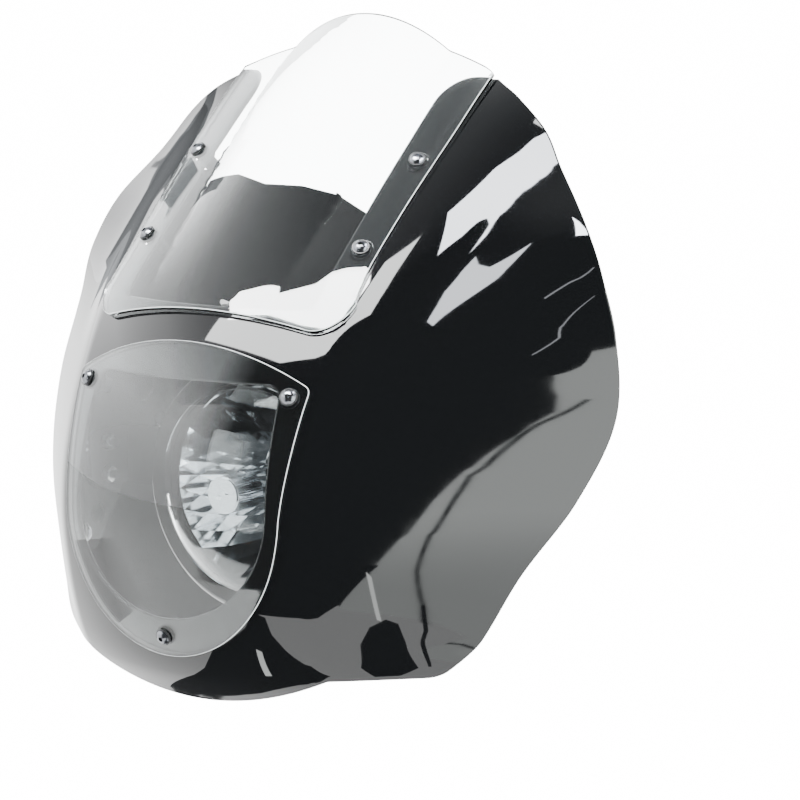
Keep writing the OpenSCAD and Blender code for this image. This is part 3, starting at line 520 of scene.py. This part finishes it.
boss = {"starts": [(148.8, -131.62, 15.0), (148.8, -131.62, -45.0)], "insertMiddle": 4.7, "angle": 43.6,
        "radius": 8.0, "boreRadius": 4.25, "boreDepth": 9.4, "flare": 2.4, "flareBelow": 2.2, "rounding": 0.6}


def makeBoss(name, middle, side):
    turn = math.radians(boss["angle"])
    along = np.array([side * math.cos(turn), -math.sin(turn), 0.0])
    across, rise = np.array([side * math.sin(turn), math.cos(turn), 0.0]), np.array([0.0, 0.0, 1.0])
    foot = np.array(middle) * (side, 1, 1) - along * boss["insertMiddle"]
    r, bore, deep, c = boss["radius"], boss["boreRadius"], boss["boreDepth"], boss["rounding"]
    # radius, height, and whether the height is measured down from the skin
    outline = [(0.0, deep, False), (bore, deep, False), (bore, c, False), (bore + c, 0.0, False),
               (r - c, 0.0, False), (r - 0.3 * c, 0.3 * c, False), (r, c, False)]
    for a in (0, math.pi / 6, math.pi / 3, math.pi / 2):
        spread, sink = boss["flare"] * (1 - math.cos(a)), boss["flare"] * (1 - math.sin(a))
        outline.append((r + spread, boss["flareBelow"] + sink, True))
    count = 48
    points = []
    for radius, height, fromSkin in outline:
        for k in range(count):
            a = 2 * math.pi * k / count
            at = foot + radius * (math.cos(a) * across + math.sin(a) * rise)
            low, high = 0.0, 60.0
            for _ in range(24 if fromSkin else 0):
                half = (low + high) / 2
                p = at + half * along
                low, high = (half, high) if p[1] > faceY(p[0], p[2]) else (low, half)
            points.append(at + (low - height if fromSkin else height) * along)
    faces = []
    for row in range(len(outline) - 1):
        for k in range(count):
            a, b = row * count + k, row * count + (k + 1) % count
            faces.append((a, b, b + count, a + count) if side > 0 else (b, a, a + count, b + count))
    mesh = bpy.data.meshes.new(name)
    mesh.from_pydata((np.array(points) / 1000).tolist(), [], faces)
    mesh.materials.append(shellBack)
    mesh.polygons.foreach_set("use_smooth", [True] * len(faces))
    mesh.update()
    piece = bpy.data.objects.new(name, mesh)
    scene.collection.objects.link(piece)
    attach(piece, "root")


for k, middle in enumerate(boss["starts"]):
    makeBoss("boss_left_%d" % k, middle, 1)
    makeBoss("boss_right_%d" % k, middle, -1)
print("bosses made")

# Clear sheets

clear = finishes["clear_acrylic"]
# the bevel in front of each clear sheet takes the painted edge highlight
clearSheet = {"gap": 1.35, "edgeRadius": 0.5, "grid": 3.5, "materials": [clear, clear, paintedEdgeHighlight, clear]}


def makeClearSheet(name, outline, spots, surface, thickness, replaced):
    loops = [outline] + [roundHole(x, z, screws["shankRadius"]) for x, z in spots]
    gap = clearSheet["gap"]
    makeSheet(name, loops, surface, gap + thickness, gap, clearSheet["edgeRadius"], clearSheet["grid"],
              clearSheet["materials"], replaced)


# Lamp window

windowPlate = {"halfWidth": 81.5, "topHalfWidth": 88.0, "cornerHeight": 77.0, "rise": 24.0, "foot": 91.5,
               "cornerRadius": 6.0}
windowThickness = 2.87  # a little under the real 3 mm, to stay inside the part's box
makeClearSheet("lamp_window", lampOutline(*windowPlate.values(), 2.5), windowSpots, skin, windowThickness,
               "window")

# Bubble screen

bubbleScreen = {"thickness": 3.0, "topWidth": 200.0, "midWidth": 188.0, "lowWidth": 193.0, "headRise": 21.0,
                "headDrop": 23.0, "cornerHeight": 104.0, "footRise": 15.0, "cornerRadius": 18.0,
                "bubbleHeight": 18.0, "bubbleWidth": 124.0, "bubbleTaper": 14.0}


def bubbleRise(x, z):
    head = armTop + bubbleScreen["headRise"]
    up = np.clip((z - cowl["armFoot"]) / (head - cowl["armFoot"]), 0, 1)
    half = bubbleScreen["bubbleWidth"] / 2 - bubbleScreen["bubbleTaper"] * (1 - up)
    return bubbleScreen["bubbleHeight"] * up * np.maximum(0, 1 - (x / half) ** 2)


def screenSurface(x, z, off):
    return skin(x, z, np.asarray(off, float) + bubbleRise(x, z))


def screenOutline(gap):
    s = bubbleScreen
    low, topHalf, lowHalf = s["cornerHeight"], s["topWidth"] / 2, s["lowWidth"] / 2
    side = [(low - 10, lowHalf + 1), (low + 6, lowHalf), (150, s["midWidth"] / 2),
            (armTop - 30, topHalf - 1.5), (armTop, topHalf), (armTop + 60, topHalf + 3)]
    footR = (lowHalf ** 2 + s["footRise"] ** 2) / (2 * s["footRise"])
    centreZ = low + s["footRise"] - footR
    bendX = lowHalf - s["cornerRadius"]
    bendZ = centreZ + math.sqrt((footR + s["cornerRadius"]) ** 2 - bendX ** 2)
    reach = math.asin(bendX / (footR + s["cornerRadius"]))
    foot = [np.array([footR * math.sin(t), centreZ + footR * math.cos(t)]) for t in np.linspace(0, reach, 36)]
    bend = arcPoints(bendX, bendZ, s["cornerRadius"], -90 - math.degrees(reach), 0, gap)
    span = topHalf + 4
    headZ = lambda x: armTop + s["headRise"] - s["headDrop"] * (x / span) ** 2
    endX = topHalf
    for _ in range(4):
        endX = float(curveAt(side, headZ(endX)))
    edgeLine = [np.array([float(curveAt(side, z)), z]) for z in np.linspace(bendZ, headZ(endX), 70)]
    head = [np.array([x, headZ(x)]) for x in np.linspace(endX, 0, 44)]
    return mirroredLoop(foot[:-1] + bend[:-1] + edgeLine[:-1] + head)


makeClearSheet("bubble_screen", screenOutline(2.5), screenSpots, screenSurface, bubbleScreen["thickness"],
               "screen")

# Studio

studio = {"floorZ": -0.62, "floorTone": "#F1F1F0", "fadeFrom": 0.8, "fadeTo": 1.5, "backdrop": 13.0,
          "sky": 6.0, "skyTone": "#FBFCFD", "lampPower": 90.0,
          "grey": 6.6, "patch": 30.0, "white": 110.0, "dark": 0.18, "ceiling": 0.9, "far": 0.6}
viewSide = (-0.56, 0.83, 0.0)  # along the floor from the camera past the part
# tone of the surroundings by height: brightest a third of the way up, as over a row of side
# windows, and dimmer overhead
skyTones = [(0.0, 0.62), (0.18, 0.65), (0.37, 0.92), (0.53, 0.72), (0.75, 0.45), (1.0, 0.38)]


def stageSheet(name, corners, material):
    mesh = bpy.data.meshes.new(name)
    mesh.from_pydata([tuple(c) for c in corners], [], [tuple(range(len(corners)))])
    mesh.materials.append(material)
    sheet = bpy.data.objects.new(name, mesh)
    scene.collection.objects.link(sheet)
    return sheet


def paintedFloor():
    # pale matt studio paint, lit up to white where the camera looks past the part
    mat, tree, shader, at = newMaterial("matt studio floor paint", studio["floorTone"], 0.9)
    away = addNode(tree, "ShaderNodeVectorMath", {0: at}, operation="LENGTH")
    fade = addNode(tree, "ShaderNodeMapRange",
                   {"Value": away.outputs["Value"], "From Min": studio["fadeFrom"],
                    "From Max": studio["fadeTo"], "To Max": studio["backdrop"]},
                   interpolation_type="SMOOTHSTEP")
    # straight from the camera all round, and through the clear panels only behind the part
    path = addNode(tree, "ShaderNodeLightPath")
    bearing = addNode(tree, "ShaderNodeVectorMath", {0: at}, operation="NORMALIZE")
    ahead = addNode(tree, "ShaderNodeVectorMath", {0: bearing.outputs["Vector"], 1: viewSide},
                    operation="DOT_PRODUCT")
    behind = addNode(tree, "ShaderNodeMath", {0: ahead.outputs["Value"], 1: 0.8}, operation="GREATER_THAN")
    through = addNode(tree, "ShaderNodeMath",
                      {0: path.outputs["Is Transmission Ray"], 1: behind.outputs["Value"]},
                      operation="MULTIPLY")
    seen = addNode(tree, "ShaderNodeMath", {0: path.outputs["Is Camera Ray"], 1: through.outputs["Value"]},
                   operation="MAXIMUM")
    shader.inputs["Emission Color"].default_value = hexColor("#FFFFFF")
    addNode(tree, "ShaderNodeMath", {0: fade.outputs["Result"], 1: seen.outputs["Value"]},
            shader.inputs["Emission Strength"], operation="MULTIPLY")
    return mat


def paleSurroundings():
    world = bpy.data.worlds.new("studio")
    scene.world = world
    world.use_nodes = True
    tree = world.node_tree
    background = tree.nodes["Background"]
    background.inputs["Color"].default_value = hexColor(studio["skyTone"])
    place = addNode(tree, "ShaderNodeTexCoord")
    height = addNode(tree, "ShaderNodeSeparateXYZ", {"Vector": place.outputs["Generated"]})
    tones = addNode(tree, "ShaderNodeValToRGB", {"Fac": height.outputs["Z"]})
    stops = tones.color_ramp.elements
    for step, _ in skyTones[1:-1]:
        stops.new(step)
    for stop, (_, tone) in zip(stops, skyTones):
        stop.color = (tone, tone, tone, 1)
    around = addNode(tree, "ShaderNodeMath", {0: tones.outputs["Color"], 1: studio["sky"]},
                     operation="MULTIPLY")
    # the camera itself sees a plain white backdrop
    path = addNode(tree, "ShaderNodeLightPath")
    addNode(tree, "ShaderNodeMapRange",
            {"Value": path.outputs["Is Camera Ray"], "To Min": around.outputs["Value"],
             "To Max": studio["backdrop"]}, background.inputs["Strength"])


def direction(azimuth, elevation):  # 0 degrees looks from the front, 90 from the rider's left
    a, e = math.radians(azimuth), math.radians(elevation)
    return Vector((math.sin(a) * math.cos(e), -math.cos(a) * math.cos(e), math.sin(e)))


def areaLight(name, azimuth, elevation, distance, width, height, power):
    data = bpy.data.lights.new(name, "AREA")
    data.shape, data.size, data.size_y, data.energy = "RECTANGLE", width, height, power
    light = bpy.data.objects.new(name, data)
    light.location = direction(azimuth, elevation) * distance
    light.rotation_euler = direction(azimuth, elevation).to_track_quat("Z", "Y").to_euler()
    light.visible_glossy = light.visible_transmission = False
    scene.collection.objects.link(light)


floorCorners = [(x, y, studio["floorZ"]) for x, y in ((-90, -90), (90, -90), (90, 90), (-90, 90))]
stageSheet("floor", floorCorners, paintedFloor())
paleSurroundings()
areaLight("top softbox", 35, 66, 3.2, 1.5, 1.1, studio["lampPower"])
print("floor and light made")

# Cards that the gloss mirrors

darkTone, paleTone, blueTone = "#E4E8EC", "#F4F8F6", "#F2F6FD"


def cardMaterial(name, tone, strength, soft):
    mat = bpy.data.materials.new(name)
    mat.use_nodes = True
    mat.cycles.emission_sampling = "NONE"
    tree = mat.node_tree
    tree.nodes.clear()
    glow = addNode(tree, "ShaderNodeEmission", {"Color": hexColor(tone), "Strength": strength})
    surface = glow.outputs["Emission"]
    if soft:  # clear at the first point, solid at the second
        start, end = Vector(soft[0]), Vector(soft[1])
        run = (end - start) / (end - start).length_squared
        place = addNode(tree, "ShaderNodeTexCoord")
        along = addNode(tree, "ShaderNodeVectorMath", {0: place.outputs["Object"], 1: run},
                        operation="DOT_PRODUCT")
        fade = addNode(tree, "ShaderNodeMapRange",
                       {"Value": along.outputs["Value"], "From Min": start.dot(run),
                        "From Max": end.dot(run)})
        clear = addNode(tree, "ShaderNodeBsdfTransparent")
        mix = addNode(tree, "ShaderNodeMixShader",
                      {0: fade.outputs["Result"], 1: clear.outputs["BSDF"], 2: surface})
        surface = mix.outputs["Shader"]
    addNode(tree, "ShaderNodeOutputMaterial", {"Surface": surface})
    return mat


def card(name, corners, tone, strength, soft=None):  # a flag or a reflector card, seen in reflections alone
    sheet = stageSheet(name, corners, cardMaterial(name, tone, strength, soft))
    sheet.visible_camera = sheet.visible_diffuse = sheet.visible_shadow = False
    return sheet


def onPlane(azimuth, elevation, distance, centre, corners):
    # corners in mm across and up a plane that faces the part, this far in mm from the centre
    normal = direction(azimuth, elevation)
    across = Vector((math.cos(math.radians(azimuth)), math.sin(math.radians(azimuth)), 0))
    rise = normal.cross(across)
    if rise.z < 0:
        rise = -rise
    middle = Vector(centre) + normal * distance
    return [(middle + across * u + rise * v) / 1000 for u, v in corners]


def overhead(left, right, z):  # metres, over the whole depth of the part
    return [(left, -3.0, z), (right, -3.0, z), (right, 1.6, z), (left, 1.6, z)]


origin = (0, 0, 0)

# dark flags on the rider's left, in front and overhead keep the near flank black
sideCorners = [(-1100, -620), (1500, -620), (1500, 2300), (-1100, 2300)]
card("side flag", onPlane(55, 0, 1250, origin, sideCorners), darkTone, studio["dark"])
frontCorners = [(-450, -620), (260, -620), (260, 1900), (-1150, 1900), (-740, 700), (-620, 0)]
card("front flag", onPlane(5, 0, 1220, origin, frontCorners), darkTone, studio["dark"],
     onPlane(5, 0, 1220, origin, [(-620, 0), (-230, 0)]))
card("ceiling flag", overhead(-2.2, 3.2, 1.9), darkTone, studio["ceiling"], ((-2.2, 0, 1.9), (0, 0, 1.9)))
card("ceiling shade", overhead(0.0, 3.2, 1.88), darkTone, studio["dark"], ((0.05, 0, 1.88), (0.95, 0, 1.88)))

# and one behind the rider's right, for the dark line beside the screen
farCorners = [(60, -60), (130, -60), (200, 40), (290, 90), (285, 230), (262, 290), (290, 370), (370, 450),
              (620, 800), (540, 860), (400, 650), (260, 490), (110, 370), (80, 280), (60, 100)]
card("far flag", onPlane(-128, 5, 1300, origin, farCorners), darkTone, studio["far"] * 1.8)
coreCorners = [(110, 95), (275, 95), (262, 215), (240, 290), (262, 370), (345, 455), (460, 585), (400, 620),
               (280, 480), (150, 370), (120, 280)]
card("far core", onPlane(-128, 5, 1290, origin, coreCorners), darkTone, studio["far"])

# the pale wall that the lower flank mirrors, darker at its foot, with the dark joint that runs through it
wallCorners = [(-40, -620), (30, -470), (50, -240), (90, 0), (130, 170), (190, 300), (239, 430), (250, 520),
               (250, 600), (400, 650), (1200, 760), (1200, -620)]
card("grey wall", onPlane(55, 0, 1220, origin, wallCorners), paleTone, studio["grey"])
footCorners = [(-60, -640), (1200, -640), (1200, -80), (60, -80), (30, -470)]
card("wall foot", onPlane(55, 0, 1215, origin, footCorners), paleTone, studio["grey"] * 0.6,
     onPlane(55, 0, 1215, origin, [(0, -80), (0, -520)]))
joint = [(270, 485), (190, 300), (130, 140), (110, 0), (84, -200), (82, -450), (90, -560), (86, -620)]
card("wall joint", onPlane(55, 0, 1200, origin, joint + [(u + 7, v - 3) for u, v in joint[::-1]]),
     darkTone, studio["dark"])

# window light on the shoulder
streaks = {
    "long": (60, [(-26, -19), (-28, 19), (3, 47), (22, 59), (27, 59), (31, 55), (34, 47), (25, 43), (17, 36),
                  (13, 30), (5, 13), (0, -7), (-5, -21), (1, 3), (0, 10), (-3, 7), (-12, -6)]),
    "short": (26, [(-2, -24), (0, -31), (4, -34), (17, -17), (10, -38), (4, -61), (-6, -99), (-11, -94),
                   (-10, -57), (-6, -37)]),
    "small": (110, [(37, 8), (47, -23), (39, -20)]),
}
for key, (strength, corners) in streaks.items():
    card("streak " + key, onPlane(40, 60, 60, (150, -60, 180), corners), blueTone, strength)
thinStreaks = {"upper": [(-59, 61), (-46, 72), (-32, 79), (-33, 80), (-46, 75), (-60, 63)],
               "lower": [(-61, 24), (-44, 27), (-30, 40), (-30, 41), (-45, 28), (-61, 25)]}
for key, corners in thinStreaks.items():
    card("thin " + key, onPlane(70, 10, 60, (205, -30, 100), corners), blueTone, studio["grey"])

# and under the foot of the screen
underScreen = (60, -170, 115)
patchCorners = [(-272, 58), (-292, -26), (-10, -98), (76, -72), (300, 108), (177, 266), (109, 234),
                (167, 54), (34, 3)]
card("patch", onPlane(0, 55, 400, underScreen, patchCorners), "#F6F8F8", studio["patch"])
whiteCorners = [(-240, 48), (-212, 86), (-179, 100), (-150, 116), (-125, 130), (-100, 142), (-60, 160),
                (-44, 193), (-20, 205), (15, 213), (80, 205), (112, 190), (122, 112), (105, 47), (55, 16),
                (-10, 21), (-110, 52), (-175, 46)]
card("white", onPlane(0, 55, 395, underScreen, whiteCorners), "#FAFBFC", studio["white"])

# dark and light shapes that stand low in front of the part
lowSpot, chinSpot, noseSpot = (150, -150, -90), (0, -205, -105), (95, -200, -50)
lowCorners = [(-36, -28), (-34, -2), (-27, 15), (-16, 23), (-8, 20), (-4, 5), (1, -17), (-9, -40), (-25, -46)]
card("low flag", onPlane(55, -35, 60, lowSpot, lowCorners), darkTone, studio["dark"])
card("low bar", onPlane(55, -35, 58, lowSpot, [(-29, 64), (-25, 58), (-19, 21), (-22, 22)]), paleTone,
     studio["grey"] * 1.6)
jointCorners = [(7, 36), (10, 36), (11, 16), (8, 7), (9, -12), (7, -13), (5, 6), (8, 16)]
card("joint foot", onPlane(55, -35, 57, lowSpot, jointCorners), darkTone, studio["dark"])
chinCorners = [(7, 20), (-11, -9), (-62, -55), (-107, -94), (-56, -79), (-7, -72), (19, -68), (70, -48),
               (130, -44), (96, -11), (86, 13), (79, 33), (79, 54), (66, 63), (52, 45), (28, 30)]
card("chin flag", onPlane(-5, -55, 60, chinSpot, chinCorners), darkTone, studio["dark"])
card("chin glint", onPlane(-5, -55, 58, chinSpot, [(56, 19), (61, 15), (55, -23), (49, -22)]), paleTone,
     studio["grey"] * 1.6)
noseCorners = [(-61, 17), (-43, 6), (-54, -16), (-19, -17), (30, -18), (61, -11), (87, 3), (106, 14),
               (64, 30), (-15, 42), (-41, 34)]
card("nose flag", onPlane(20, -30, 60, noseSpot, noseCorners), darkTone, studio["dark"])

# a flag low on the rider's right, which only the shell behind the lamp window and the lamp see
flagZ = studio["floorZ"] + 0.04
flagCorners = [(x, y, flagZ) for x, y in ((-1.8, -1.3), (-0.75, -0.75), (-0.95, -0.04), (-2.0, 0.15))]
footFlag = card("foot flag", flagCorners,
                darkTone, studio["dark"], ((-1.0, -0.95, flagZ), (-1.15, -0.6, flagZ)))
footFlag.visible_glossy = False

# black cloth behind the part, seen through the clear panels alone
clothCorners = [(-206, 114), (-174, 173), (-142, 224), (-111, 223), (-87, 213), (-56, 210), (-24, 201),
                (7, 181), (39, 153), (39, -209), (-261, -209), (-261, 98)]
cloth = stageSheet("black cloth", onPlane(34.08, 8.5, -350, origin, clothCorners),
                   cardMaterial("black cloth", "#202224", 0.3, None))
cloth.visible_camera = cloth.visible_diffuse = cloth.visible_glossy = cloth.visible_shadow = False
print("cards made")

# Camera

view = {"place": (1.1805, -1.7045, 0.351), "azimuth": 34.08, "elevation": 8.5, "roll": -0.08, "lens": 140.0,
        "sensor": 36}
cameraData = bpy.data.cameras.new("camera")
cameraData.lens = view["lens"]
cameraData.sensor_width = view["sensor"]
camera = bpy.data.objects.new("camera", cameraData)
scene.collection.objects.link(camera)
back = direction(view["azimuth"], view["elevation"])
right = Vector((0, 0, 1)).cross(back).normalized()
up = back.cross(right)
turn = Matrix((right, up, back)).transposed().to_4x4()
roll = Matrix.Rotation(math.radians(view["roll"]), 4, "Z")
camera.matrix_world = Matrix.Translation(view["place"]) @ turn @ roll
scene.camera = camera
print("camera made")
